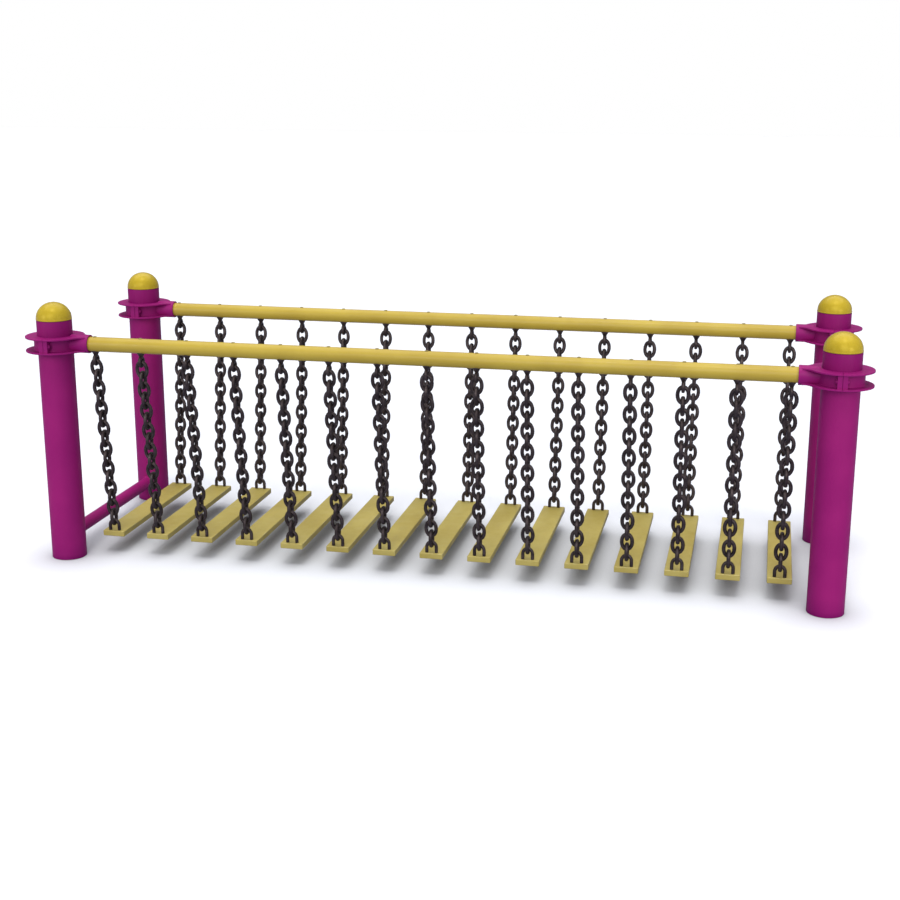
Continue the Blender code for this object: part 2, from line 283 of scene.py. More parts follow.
# Heights of bumps
PEEL_BUMP = 0.00025
SPECKLE_BUMP = 0.00003
CAP_BUMP = 0.00003
PLANK_BUMP = 0.0002
GRAIN_BUMP = 0.00012
STEEL_BUMP = 0.00035

# The Mix node's sockets for colours, which share their names with others
MIX_FACTOR = 0
MIX_FIRST = 6
MIX_SECOND = 7
MIX_RESULT = 2

ROWS = (("front", -1), ("back", 1))
ENDS = (("left", -1), ("right", 1))


def node_middle(name):
    """Return the middle of a node's box."""
    low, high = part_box(name)
    return (low + high) / 2


# Places taken from the frame
frame_low, frame_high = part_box("end_frame_left")
POST_RADIUS = (frame_high.x - frame_low.x) / 2
POST_X = -node_middle("end_frame_left").x
POST_Y = frame_high.y - POST_RADIUS
POST_TOP = frame_high.z
rail_low, rail_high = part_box("rail_front")
RAIL_RADIUS = (rail_high.y - rail_low.y) / 2
RAIL_HALF_LENGTH = rail_high.x
RAIL_HEIGHT = rail_high.z - RAIL_RADIUS
clamp_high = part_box("clamp_front_left")[1]
FLANGE_RADIUS = POST_Y + clamp_high.y
SOCKET_REACH = clamp_high.x + POST_X
plank_low, plank_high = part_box("plank_01")
PLANK_WIDTH = plank_high.x - plank_low.x
PLANK_LENGTH = plank_high.y - plank_low.y
PLANK_BOTTOM = plank_low.z
PLANK_TOP = plank_low.z + PLANK_THICKNESS
ARCH_TOP = plank_high.z
ARCH_Y = PLANK_LENGTH / 2 - ARCH_INSET
chain_low, chain_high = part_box("chain_front_01")
LINK_WIDTH = chain_high.x - chain_low.x
PINS = [Vector(joint["pos_m"]) for joint in frame["joints"]]
PIN_HEIGHT = PINS[0].z
CAP_TOP = cad_high.z

# The chain's lean and the pitch of its links
ARCH_WIRE_HEIGHT = ARCH_TOP - FRAME_WIRE_RADIUS
CHAIN_DROP = PIN_HEIGHT - ARCH_WIRE_HEIGHT
CHAIN_SHIFT = POST_Y - ARCH_Y
CHAIN_LEAN = math.atan2(CHAIN_SHIFT, CHAIN_DROP)
CHAIN_SPAN = math.hypot(CHAIN_DROP, CHAIN_SHIFT)
LINK_PITCH = (CHAIN_SPAN + 2 * WIRE_RADIUS) / LINK_COUNT
LINK_HALF_WIDTH = LINK_WIDTH / 2 - LINK_WIRE_RADIUS
LINK_HALF_LENGTH = LINK_PITCH / 2 + LINK_CROWN_RADIUS


class Shape:
    """Points and faces gathered for one piece."""

    def __init__(self):
        self.points = []
        self.faces = []
        self.wear_and_shade = []

    def add(self, part, matrix=None, wear_and_shade=None):
        """Add another set of points and faces, moved by a matrix."""
        points, faces = part
        first = len(self.points)
        if matrix is not None:
            points = [matrix @ Vector(point) for point in points]
        self.points.extend(points)
        self.faces.extend([tuple(first + i for i in face) for face in faces])
        self.wear_and_shade.extend(wear_and_shade or [0.0] * len(points))

    def piece(self, name, material, body, replaced=(), even=False):
        """Make the piece, ride it on its body and let it stand for nodes.

        Even shading keeps the broad flat faces beside rounded edges flat to the eye.
        """
        mesh = bpy.data.meshes.new(name)
        mesh.from_pydata([tuple(point) for point in self.points], [], self.faces)
        bm = bmesh.new()
        bm.from_mesh(mesh)
        bmesh.ops.recalc_face_normals(bm, faces=bm.faces)
        bm.to_mesh(mesh)
        bm.free()
        # Each point's value: rubbing on chains, eyes, arches and planks, painted shade on the posts
        if any(self.wear_and_shade):
            attribute = mesh.attributes.new("wear_and_shade", "FLOAT", "POINT")
            attribute.data.foreach_set("value", self.wear_and_shade)
        mesh.shade_smooth()
        mesh.set_sharp_from_angle(angle=SMOOTH_ANGLE)
        mesh.materials.append(material)
        made = bpy.data.objects.new(name, mesh)
        bpy.context.scene.collection.objects.link(made)
        if even:
            made.modifiers.new("even_shading", "WEIGHTED_NORMAL").keep_sharp = True
        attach(made, body)
        if replaced:
            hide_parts(*replaced)
        return made


def band_faces(rows, columns, loop_rows=False, loop_columns=True):
    """Return the faces between rows of points that follow each other."""
    faces = []
    for row in range(rows if loop_rows else rows - 1):
        here = row * columns
        there = (row + 1) % rows * columns
        for column in range(columns if loop_columns else columns - 1):
            beside = (column + 1) % columns
            faces.append((here + column, here + beside, there + beside, there + column))
    return faces


def arc(centre, radius, start, end, steps):
    """Return points along a flat arc, both ends included."""
    angles = [start + (end - start) * i / steps for i in range(steps + 1)]
    return [(centre[0] + radius * math.cos(a), centre[1] + radius * math.sin(a)) for a in angles]


def rounded(corners, steps=ROUND_STEPS, closed=True):
    """Return an outline whose corners, given as (x, y, radius), are rounded."""
    outline = []
    count = len(corners)
    for i, (x, y, radius) in enumerate(corners):
        corner = Vector((x, y))
        if radius == 0 or (not closed and i in (0, count - 1)):
            outline.append((x, y))
            continue
        before = (Vector(corners[i - 1][:2]) - corner).normalized()
        after = (Vector(corners[(i + 1) % count][:2]) - corner).normalized()
        half = before.angle(after) / 2
        middle = corner + (before + after).normalized() * (radius / math.sin(half))
        first = corner + before * (radius / math.tan(half)) - middle
        last = corner + after * (radius / math.tan(half)) - middle
        turn = first.angle_signed(last)
        for step in range(steps + 1):
            direction = first.copy()
            direction.rotate(Matrix.Rotation(-turn * step / steps, 2))
            outline.append(tuple(middle + direction))
    return outline


def turned(profile, sides, looped=False):
    """Turn a profile of (radius, height) about Z; its ends may lie on the axis."""
    points = []
    faces = []
    starts = []
    for radius, height in profile:
        starts.append(len(points))
        if radius == 0:
            points.append((0, 0, height))
            continue
        for i in range(sides):
            angle = 2 * math.pi * i / sides
            points.append((radius * math.cos(angle), radius * math.sin(angle), height))
    pairs = list(zip(range(len(profile)), range(1, len(profile))))
    if looped:
        pairs.append((len(profile) - 1, 0))
    for a, b in pairs:
        for i in range(sides):
            j = (i + 1) % sides
            here = (starts[a],) if profile[a][0] == 0 else (starts[a] + i, starts[a] + j)
            there = (starts[b],) if profile[b][0] == 0 else (starts[b] + j, starts[b] + i)
            faces.append(here + there)
    return points, faces


def turned_part(profile, start, end, steps):
    """Turn a closed profile about Z through part of a circle, and close both its ends."""
    points = []
    for i in range(steps + 1):
        angle = start + (end - start) * i / steps
        points.extend((r * math.cos(angle), r * math.sin(angle), z) for r, z in profile)
    count = len(profile)
    faces = band_faces(steps + 1, count)
    faces.append(tuple(range(count)))
    faces.append(tuple(range(steps * count, (steps + 1) * count)))
    return points, faces


def swept(path, radii, side_hints, closed, sides=WIRE_SIDES):
    """Sweep a round section along a path; a hint tells one direction across it."""
    path = [Vector(point) for point in path]
    count = len(path)
    points = []
    for i, point in enumerate(path):
        before = path[i - 1] if closed or i > 0 else point
        after = path[(i + 1) % count] if closed or i < count - 1 else point
        along = (after - before).normalized()
        across = side_hints[i].cross(along).normalized()
        up = along.cross(across)
        for j in range(sides):
            angle = 2 * math.pi * j / sides
            points.append(point + (across * math.cos(angle) + up * math.sin(angle)) * radii[i])
    faces = band_faces(count, sides, loop_rows=closed)
    if not closed:
        faces.append(tuple(range(sides)))
        faces.append(tuple(range((count - 1) * sides, count * sides)))
    return points, faces


def inset(outline, distance):
    """Return an outline moved inwards, for one that runs anticlockwise."""
    moved = []
    count = len(outline)
    for i in range(count):
        before = Vector(outline[i]) - Vector(outline[i - 1])
        after = Vector(outline[(i + 1) % count]) - Vector(outline[i])
        normal = (before.normalized() + after.normalized()).normalized().orthogonal()
        stretch = max(normal.dot(after.normalized().orthogonal()), MITRE_LIMIT)
        moved.append(tuple(Vector(outline[i]) + normal * (distance / stretch)))
    return moved


def plate(outline, low, high, edge):
    """Return a plate with an anticlockwise outline and rounded upper and lower edges."""
    points = []
    rows = 0
    upwards = range(ROUND_STEPS + 1)
    for base, way, turns in ((low, 1, upwards), (high, -1, reversed(upwards))):
        for step in turns:
            angle = QUARTER * step / ROUND_STEPS
            height = base + way * edge * (1 - math.cos(angle))
            points.extend((x, y, height) for x, y in inset(outline, edge * (1 - math.sin(angle))))
            rows += 1
    count = len(outline)
    faces = band_faces(rows, count)
    faces.append(tuple(range(count)))
    faces.append(tuple(range((rows - 1) * count, rows * count)))
    return points, faces


def rounded_box(size, edge):
    """Return a box about the origin with rounded edges."""
    bm = bmesh.new()
    bmesh.ops.create_cube(bm, size=1.0)
    bmesh.ops.scale(bm, verts=bm.verts, vec=size)
    bmesh.ops.bevel(
        bm,
        geom=list(bm.edges),
        offset=edge,
        segments=ROUND_STEPS,
        profile=ROUND_PROFILE,
        affect="EDGES",
    )
    bm.verts.ensure_lookup_table()
    points = [tuple(v.co) for v in bm.verts]
    faces = [tuple(v.index for v in f.verts) for f in bm.faces]
    bm.free()
    return points, faces


def disc(radius, low, high, edge, sides=FINE_SIDES):
    """Return a flat round piece about Z with rounded edges."""
    corners = [(0, low, 0), (radius, low, edge), (radius, high, edge), (0, high, 0)]
    return turned(rounded(corners, closed=False), sides)


def dome(radius, base, rise, steps=DOME_STEPS):
    """Return a domed profile, from its rim at the base's height to its top on the axis."""
    profile = []
    for step in range(steps):
        angle = QUARTER * step / steps
        profile.append((radius * math.cos(angle), base + rise * math.sin(angle)))
    return profile + [(0, base + rise)]


def facing(place, direction):
    """Return the matrix that takes +Z at the origin to a direction at a place."""
    turn = Vector(direction).to_track_quat("Z", "Y").to_matrix().to_4x4()
    return Matrix.Translation(place) @ turn


def new_material(name):
    """Return a material with its node tree and its shader."""
    material = bpy.data.materials.new(name)
    material.use_nodes = True
    tree = material.node_tree
    return material, tree, tree.nodes["Principled BSDF"]


def add_node(tree, kind, values=None, **settings):
    """Add a node, set its own settings, and set or link its inputs."""
    made = tree.nodes.new(kind)
    for key, value in settings.items():
        setattr(made, key, value)
    for key, value in (values or {}).items():
        if isinstance(value, bpy.types.NodeSocket):
            tree.links.new(value, made.inputs[key])
        else:
            made.inputs[key].default_value = value
    return made


def linear(red, green, blue):
    """Return a shader colour for an sRGB colour as the eye sees it, given from 0 to 255."""
    # The standard's curve, with its straight foot
    channels = []
    for value in (red, green, blue):
        if value > 10:
            channels.append(((value / 255 + 0.055) / 1.055) ** 2.4)
        else:
            channels.append(value / 255 / 12.92)
    return (*channels, 1.0)


def noise(tree, grain, stretch=(1, 1, 1)):
    """Return the value of a noise in the object's own space, given its scale and detail."""
    scale, detail = grain
    coordinates = add_node(tree, "ShaderNodeTexCoord")
    values = {"Vector": coordinates.outputs["Object"], "Scale": stretch}
    mapping = add_node(tree, "ShaderNodeMapping", values)
    values = {"Vector": mapping.outputs["Vector"], "Scale": scale, "Detail": detail}
    return add_node(tree, "ShaderNodeTexNoise", values).outputs["Fac"]


def ranged(tree, value, old, new=(0.0, 1.0)):
    """Return a value mapped from an old range to a new one, and held inside it."""
    values = {"Value": value, "From Min": old[0], "From Max": old[1]}
    values.update({"To Min": new[0], "To Max": new[1]})
    return add_node(tree, "ShaderNodeMapRange", values).outputs["Result"]


def product(tree, first, second):
    """Return the product of two values."""
    values = {0: first, 1: second}
    return add_node(tree, "ShaderNodeMath", values, operation="MULTIPLY").outputs["Value"]


def wear_and_shade_value(tree):
    """Return the value that a piece's points carry, from 0 to 1: rubbing on chains, eyes, arches
    and planks, and the depth of painted shade on the posts.
    """
    return add_node(tree, "ShaderNodeAttribute", attribute_name="wear_and_shade").outputs["Fac"]


def mixed(tree, factor, first, second):
    """Return a mix of two colours."""
    values = {MIX_FACTOR: factor, MIX_FIRST: first, MIX_SECOND: second}
    return add_node(tree, "ShaderNodeMix", values, data_type="RGBA").outputs[MIX_RESULT]


def bumps(tree, shader, layers):
    """Add bumps to a shader, each layer a value with its height in metres."""
    normal = None
    for value, height in layers:
        values = {"Height": value, "Distance": height, "Strength": 1.0}
        if normal is not None:
            values["Normal"] = normal
        normal = add_node(tree, "ShaderNodeBump", values).outputs["Normal"]
    tree.links.new(normal, shader.inputs["Normal"])


def powder_coat(name, tones, roughness, clear_coat, gloss, painted_shade=None):
    """Return a powder coat: soft clouds of tone, orange peel, fine speckle and, when given, painted
    shade.
    """
    material, tree, shader = new_material(name)
    main, deep = [linear(*tone) for tone in tones]
    cloud = ranged(tree, noise(tree, COAT_CLOUD), SOFT_SPREAD)
    speckle = ranged(tree, noise(tree, COAT_SPECKLE), SOFT_SPREAD)
    tone = mixed(tree, cloud, deep, main)
    colour = mixed(tree, ranged(tree, speckle, (0.0, 1.0), (0.0, SPECKLE_DEPTH)), tone, deep)
    # Painted shade: the coat darkens towards the shade colour as far as each point's value asks
    if painted_shade:
        patchy_painted_shade = ranged(tree, noise(tree, PAINTED_SHADE_PATCHES), SOFT_SPREAD, PAINTED_SHADE_EVENNESS)
        colour = mixed(tree, product(tree, wear_and_shade_value(tree), patchy_painted_shade), colour, linear(*painted_shade))
    tree.links.new(colour, shader.inputs["Base Color"])
    rough_range = [roughness + step for step in COAT_ROUGHNESS_STEPS]
    rough = ranged(tree, noise(tree, COAT_SCUFFS), SCUFF_SPREAD, rough_range)
    tree.links.new(rough, shader.inputs["Roughness"])
    shader.inputs["Specular IOR Level"].default_value = gloss
    shader.inputs["Coat Weight"].default_value = clear_coat
    shader.inputs["Coat Roughness"].default_value = CLEAR_COAT_ROUGHNESS
    bumps(tree, shader, [(noise(tree, COAT_PEEL), PEEL_BUMP), (speckle, SPECKLE_BUMP)])
    return material


def cap_plastic():
    """Return the caps' glossy moulded plastic."""
    material, tree, shader = new_material("cap_plastic")
    cloud = ranged(tree, noise(tree, CAP_CLOUD), SOFT_SPREAD)
    tone = mixed(tree, cloud, *[linear(*tone) for tone in CAP_TONES])
    tree.links.new(tone, shader.inputs["Base Color"])
    rough = ranged(tree, noise(tree, CAP_SCUFFS), SCUFF_SPREAD, CAP_ROUGHNESS)
    tree.links.new(rough, shader.inputs["Roughness"])
    shader.inputs["Specular IOR Level"].default_value = CAP_GLOSS
    shader.inputs["Specular Tint"].default_value = CAP_SHEEN
    shader.inputs["Coat Weight"].default_value = CAP_CLEAR_COAT
    shader.inputs["Coat Roughness"].default_value = CAP_CLEAR_COAT_ROUGHNESS
    shader.inputs["Subsurface Weight"].default_value = CAP_GLOW
    shader.inputs["Subsurface Radius"].default_value = CAP_GLOW_REACH
    bumps(tree, shader, [(noise(tree, CAP_RIPPLES), CAP_BUMP)])
    return material


def plank_coat():
    """Return the planks' satin coat, with a fine grip, scuffs and rubbed edges."""
    material, tree, shader = new_material("plank_coat")
    cloud = ranged(tree, noise(tree, PLANK_CLOUD, PLANK_STRETCH), SOFT_SPREAD)
    tone = mixed(tree, cloud, *[linear(*tone) for tone in PLANK_TONES])
    scuffs = noise(tree, PLANK_SCUFFS, SCUFF_STRETCH)
    scuffs = ranged(tree, scuffs, PLANK_SCUFF_SPREAD, (0.0, PLANK_SCUFF_DEPTH))
    scuffed = mixed(tree, scuffs, tone, linear(*PLANK_SCUFFED))
    chips = ranged(tree, noise(tree, PLANK_CHIPS, SCUFF_STRETCH), PLANK_CHIP_SPREAD)
    worn = product(tree, wear_and_shade_value(tree), chips)
    rubbed = ranged(tree, worn, PLANK_RUB_SPREAD, (0.0, PLANK_RUB_DEPTH))
    tree.links.new(mixed(tree, rubbed, scuffed, linear(*PLANK_RUBBED)), shader.inputs["Base Color"])
    rough = ranged(tree, noise(tree, PLANK_SHEEN), SCUFF_SPREAD, PLANK_ROUGHNESS)
    tree.links.new(rough, shader.inputs["Roughness"])
    coordinates = add_node(tree, "ShaderNodeTexCoord")
    values = {"Vector": coordinates.outputs["Object"], "Scale": PLANK_GRAIN_SCALE}
    distance = add_node(tree, "ShaderNodeTexVoronoi", values).outputs["Distance"]
    grains = ranged(tree, distance, PLANK_GRAIN_SPREAD)
    bumps(tree, shader, [(noise(tree, PLANK_RIPPLES), PLANK_BUMP), (grains, GRAIN_BUMP)])
    return material


def chain_steel():
    """Return the chains' dark steel, rubbed brighter where one link bears on the next."""
    material, tree, shader = new_material("chain_steel")
    cloud = ranged(tree, noise(tree, STEEL_CLOUD), SOFT_SPREAD)
    tone = mixed(tree, cloud, *[linear(*tone) for tone in STEEL_TONES])
    worn = product(tree, wear_and_shade_value(tree), noise(tree, STEEL_PATCHES))
    rubbed = ranged(tree, worn, STEEL_RUB_SPREAD, (0.0, STEEL_RUB_DEPTH))
    tree.links.new(mixed(tree, rubbed, tone, linear(*STEEL_RUBBED)), shader.inputs["Base Color"])
    rough = ranged(tree, noise(tree, STEEL_SCUFFS), SCUFF_SPREAD, STEEL_ROUGHNESS)
    tree.links.new(rough, shader.inputs["Roughness"])
    shader.inputs["Metallic"].default_value = STEEL_METALLIC
    bumps(tree, shader, [(noise(tree, STEEL_PITS), STEEL_BUMP)])
    return material


def floor_paint():
    """Return the floor's pale finish, with a soft shade close under the bridge."""
    material, tree, shader = new_material("pale_floor")
    cloud = ranged(tree, noise(tree, FLOOR_CLOUD), FLOOR_SPREAD)
    pale = mixed(tree, cloud, *[linear(*tone) for tone in FLOOR_TONES])
    values = {"Distance": FLOOR_SHADE_REACH}
    open_sky = add_node(tree, "ShaderNodeAmbientOcclusion", values).outputs["AO"]
    shaded = mixed(tree, open_sky, FLOOR_SHADE, pale)
    seen = add_node(tree, "ShaderNodeLightPath").outputs["Is Camera Ray"]
    tree.links.new(mixed(tree, seen, FLOOR_BOUNCE, shaded), shader.inputs["Base Color"])
    shader.inputs["Roughness"].default_value = FLOOR_ROUGHNESS
    shader.inputs["Specular IOR Level"].default_value = FLOOR_GLOSS
    return material


def weld_bead(post_y, side):
    """Return the bead where the cross bar meets a post, on the given side of the post."""
    path = []
    radii = []
    hints = []
    for i in range(WELD_STEPS):
        angle = 2 * math.pi * i / WELD_STEPS
        across = BAR_RADIUS * math.cos(angle)
        reach = math.sqrt(POST_RADIUS**2 - across**2)
        path.append((across, post_y + side * reach, BAR_HEIGHT + BAR_RADIUS * math.sin(angle)))
        radii.append(WELD_RADIUS + WELD_RIPPLE * math.cos(WELD_RIPPLES * angle))
        hints.append(Vector((0, 1, 0)))
    return swept(path, radii, hints, closed=True, sides=WELD_SIDES)


def build_end_frames(purple):
    """Make the posts and the cross bar of each end, darker near the ground and over the clamps by
    painted shade.
    """
    stub_foot = RAIL_HEIGHT + CLAMP_HALF_HEIGHT
    # Painted contact shade near the ground, none around the clamp, and painted shade on the stub
    # above it
    painted_shade_steps = [(0, FOOT_PAINTED_SHADE[0][1]), *FOOT_PAINTED_SHADE, (RAIL_HEIGHT, 0)]
    painted_shade_steps += [(stub_foot + height, depth) for height, depth in STUB_PAINTED_SHADE]
    corners = [(0, 0, 0), (POST_RADIUS, 0, POST_EDGE)]
    corners += [(POST_RADIUS, height, 0) for height, _ in painted_shade_steps[1:]]
    corners += [(POST_RADIUS, POST_TOP - CAP_SEAM, POST_EDGE), (0, POST_TOP - CAP_SEAM, 0)]
    post = turned(rounded(corners, closed=False), POST_SIDES)
    heights, depths = zip(*painted_shade_steps)
    post_painted_shade = [float(np.interp(z, heights, depths)) for _, _, z in post[0]]
    bar_end = POST_Y - POST_RADIUS + WELD_RADIUS
    bar_profile = [(0, -bar_end), (BAR_RADIUS, -bar_end), (BAR_RADIUS, bar_end), (0, bar_end)]
    bar = turned(bar_profile, RAIL_SIDES)
    for end, way in ENDS:
        shape = Shape()
        here = Matrix.Translation((way * POST_X, 0, 0))
        for _, side in ROWS:
            shape.add(post, here @ Matrix.Translation((0, side * POST_Y, 0)), post_painted_shade)
            shape.add(weld_bead(side * POST_Y, -side), here)
        shape.add(bar, here @ facing((0, 0, BAR_HEIGHT), (0, 1, 0)))
        shape.piece(f"posts_{end}", purple, "frame", [f"end_frame_{end}"])


def build_caps(plastic):
    """Make the dome cap of each post, with a low lip at its foot."""
    foot = POST_TOP
    lip_top = foot + CAP_LIP_HEIGHT
    lip = POST_RADIUS + CAP_LIP_STAND
    profile = [(0, foot), (POST_RADIUS - CAP_SEAM, foot)]
    profile += [(lip, foot + CAP_SEAM), (lip, lip_top - CAP_SEAM)]
    profile += dome(POST_RADIUS, lip_top, CAP_TOP - lip_top, CAP_STEPS)
    cap = turned(profile, POST_SIDES)
    for end, way in ENDS:
        for row, side in ROWS:
            shape = Shape()
            shape.add(cap, Matrix.Translation((way * POST_X, side * POST_Y, 0)))
            shape.piece(f"dome_{row}_{end}", plastic, "frame", [f"cap_{row}_{end}"])


def clamp_wall_profile():
    """Return the section of the wall between the flanges, with fillets at both ends."""
    web = CLAMP_HALF_HEIGHT - CLAMP_FLANGE
    bore = POST_RADIUS + CAP_SEAM / 2
    root = CLAMP_WALL_RADIUS + CLAMP_FILLET
    profile = [(bore, -web - CLAMP_OVERLAP), (root, -web - CLAMP_OVERLAP)]
    profile += arc((root, -web + CLAMP_FILLET), CLAMP_FILLET, 3 * QUARTER, 2 * QUARTER, ROUND_STEPS)
    profile += arc((root, web - CLAMP_FILLET), CLAMP_FILLET, 2 * QUARTER, QUARTER, ROUND_STEPS)
    profile += [(root, web + CLAMP_OVERLAP), (bore, web + CLAMP_OVERLAP)]
    return profile


def flange_outlines():
    """Return the plans of a flange's plain half and of the half that runs along the socket."""
    edge_angle = math.asin(CLAMP_SPLIT / 2 / FLANGE_RADIUS)
    plain = arc((0, 0), FLANGE_RADIUS, QUARTER + edge_angle, 3 * QUARTER - edge_angle, CLAMP_STEPS)
    start = FLANGE_RADIUS * Vector((math.cos(GUSSET_START), math.sin(GUSSET_START)))
    end = Vector((GUSSET_REACH, GUSSET_HALF_WIDTH))
    pulls = (
        start,
        start + GUSSET_PULL * Vector((math.sin(GUSSET_START), -math.cos(GUSSET_START))),
        end - Vector((GUSSET_PULL, 0)),
        end,
    )
    run = []
    for step in range(1, GUSSET_STEPS + 1):
        share = step / GUSSET_STEPS
        rest = 1 - share
        weights = (rest**3, 3 * share * rest**2, 3 * share**2 * rest, share**3)
        pulled = (weight * pull for weight, pull in zip(weights, pulls))
        run.append(tuple(sum(pulled, Vector((0, 0)))))
    lower = arc((0, 0), FLANGE_RADIUS, -QUARTER + edge_angle, -GUSSET_START, CLAMP_STEPS // 2)
    lower += [(x, -y) for x, y in run]
    return plain, lower + [(x, -y) for x, y in reversed(lower)]


def button_head(base):
    """Return a button head bolt end about Z, with a round key socket."""
    rim = BOLT_HEAD_RADIUS
    top = base + BOLT_HEAD_HEIGHT
    key_foot = top - BOLT_KEY_DEPTH
    dome_foot = base + WASHER_EDGE
    dome_height = BOLT_HEAD_HEIGHT - WASHER_EDGE
    profile = [(0, base - CLAMP_OVERLAP), (rim, base - CLAMP_OVERLAP), (rim, dome_foot)]
    for step in range(1, DOME_STEPS + 1):
        angle = QUARTER * step / DOME_STEPS
        radius = BOLT_KEY_RADIUS + (rim - BOLT_KEY_RADIUS) * math.cos(angle)
        profile.append((radius, dome_foot + dome_height * math.sin(angle)))
    profile += [(BOLT_KEY_RADIUS, key_foot), (0, key_foot)]
    return turned(profile, FINE_SIDES)


def clamp_body():
    """Return a clamp about the origin: two split halves with lugs, and a socket towards +X."""
    web = CLAMP_HALF_HEIGHT - CLAMP_FLANGE
    profile = clamp_wall_profile()
    gap = math.asin(CLAMP_SPLIT / 2 / CLAMP_WALL_RADIUS)
    body = Shape()
    for start in (-QUARTER, QUARTER):
        body.add(turned_part(profile, start + gap, start + math.pi - gap, CLAMP_STEPS))
    for outline in flange_outlines():
        for low in (-CLAMP_HALF_HEIGHT, web):
            body.add(plate(outline, low, low + CLAMP_FLANGE, CLAMP_EDGE))
    lug_root = CLAMP_WALL_RADIUS - CLAMP_FILLET
    lug_width = CLAMP_LUG_HALF - CLAMP_SPLIT / 2
    lug_size = (lug_width, CLAMP_LUG_REACH - lug_root, 2 * web + CLAMP_FLANGE)
    lug = rounded_box(lug_size, CLAMP_LUG_EDGE)
    lug_x = (CLAMP_LUG_HALF + CLAMP_SPLIT / 2) / 2
    lug_y = (CLAMP_LUG_REACH + lug_root) / 2
    for side in (-1, 1):
        for way in (-1, 1):
            body.add(lug, Matrix.Translation((lug_x * way, lug_y * side, 0)))
    bore = SOCKET_RADIUS - SOCKET_WALL
    socket_profile = rounded(
        [
            (bore, SOCKET_ROOT, 0),
            (SOCKET_RADIUS, SOCKET_ROOT, 0),
            (SOCKET_RADIUS, SOCKET_REACH, SOCKET_EDGE),
            (bore, SOCKET_REACH, SOCKET_EDGE),
        ]
    )
    body.add(turned(socket_profile, RAIL_SIDES, looped=True), facing((0, 0, 0), (1, 0, 0)))
    return body


def clamp_bolts():
    """Return the washers and bolt heads on the lugs of a clamp about the origin."""
    bolts = Shape()
    washer_top = CLAMP_LUG_HALF + WASHER_THICKNESS
    washer = disc(WASHER_RADIUS, CLAMP_LUG_HALF - WASHER_THICKNESS, washer_top, WASHER_EDGE)
    head = button_head(washer_top)
    for side in (-1, 1):
        for way in (-1, 1):
            seat = facing((0, side * CLAMP_BOLT_OFFSET, 0), (way, 0, 0))
            bolts.add(washer, seat)
            bolts.add(head, seat)
    return bolts


def build_clamps(purple):
    """Make each clamp, and the bolts that draw its halves together."""
    body = clamp_body()
    bolts = clamp_bolts()
    for end, way in ENDS:
        for row, side in ROWS:
            matrix = Matrix.Translation((way * POST_X, side * POST_Y, RAIL_HEIGHT))
            if way > 0:
                matrix = matrix @ Matrix.Rotation(math.pi, 4, "Z")
            replaced = [f"clamp_{row}_{end}"]
            shape = Shape()
            shape.add((body.points, body.faces), matrix)
            shape.piece(f"collar_{row}_{end}", purple, "frame", replaced, even=True)
            shape = Shape()
            shape.add((bolts.points, bolts.faces), matrix)
            shape.piece(f"collar_bolts_{row}_{end}", purple, "frame")


def build_rails(yellow, stud_coat, dark):
    """Make the rails, the eyes under them and the ends of the eyes' bolts on top."""
    bore = RAIL_RADIUS - RAIL_WALL
    tube_profile = rounded(
        [
            (bore, -RAIL_HALF_LENGTH, 0),
            (RAIL_RADIUS, -RAIL_HALF_LENGTH, SOCKET_EDGE),
            (RAIL_RADIUS, RAIL_HALF_LENGTH, SOCKET_EDGE),
            (bore, RAIL_HALF_LENGTH, 0),
        ]
    )
    tube = turned(tube_profile, RAIL_SIDES, looped=True)
    ring_middle = PIN_HEIGHT + EYE_RADIUS
    ring_path = []
    for i in range(EYE_STEPS):
        angle = 2 * math.pi * i / EYE_STEPS
        height = ring_middle + EYE_RADIUS * math.sin(angle)
        ring_path.append((0, EYE_RADIUS * math.cos(angle), height))
    hints = [Vector((1, 0, 0))] * EYE_STEPS
    ring = swept(ring_path, [WIRE_RADIUS] * EYE_STEPS, hints, closed=True)
    rail_bottom = RAIL_HEIGHT - RAIL_RADIUS
    collar_foot = rail_bottom - COLLAR_HEIGHT
    collar_profile = [(0, collar_foot)]
    for step in range(COLLAR_STEPS + 1):
        share = step / COLLAR_STEPS
        flare = (COLLAR_TOP_RADIUS - COLLAR_BOTTOM_RADIUS) * share**COLLAR_FLARE
        collar_profile.append((COLLAR_BOTTOM_RADIUS + flare, collar_foot + COLLAR_HEIGHT * share))
    collar_top = rail_bottom + COLLAR_ROOT
    collar_profile += [(COLLAR_TOP_RADIUS, collar_top), (0, collar_top)]
    collar = turned(collar_profile, FINE_SIDES)
    rail_top = RAIL_HEIGHT + RAIL_RADIUS
    stud_foot = rail_top - STUD_RISE
    stud_profile = [(0, stud_foot), (STUD_RADIUS, stud_foot)]
    stud = turned(stud_profile + dome(STUD_RADIUS, rail_top, STUD_RISE), FINE_SIDES)
    for row, side in ROWS:
        shape = Shape()
        shape.add(tube, facing((0, side * POST_Y, RAIL_HEIGHT), (1, 0, 0)))
        shape.piece(f"tube_{row}", yellow, "frame", [f"rail_{row}"])
        eyes = Shape()
        studs = Shape()
        for pin in PINS:
            matrix = Matrix.Translation((pin.x, side * POST_Y, 0))
            wear_and_shade = [0.0] * len(ring[0])
            for i, point in enumerate(ring[0]):
                if point.z < PIN_HEIGHT + WIRE_RADIUS * EYE_WEAR_HEIGHT:
                    wear_and_shade[i] = max(0.0, 1 - abs(point.y) / (WIRE_WEAR_REACH * WIRE_RADIUS))
            eyes.add(ring, matrix, wear_and_shade)
            eyes.add(collar, matrix)
            studs.add(stud, matrix)
        eyes.piece(f"eyes_{row}", dark, "frame")
        studs.piece(f"rail_studs_{row}", stud_coat, "frame")


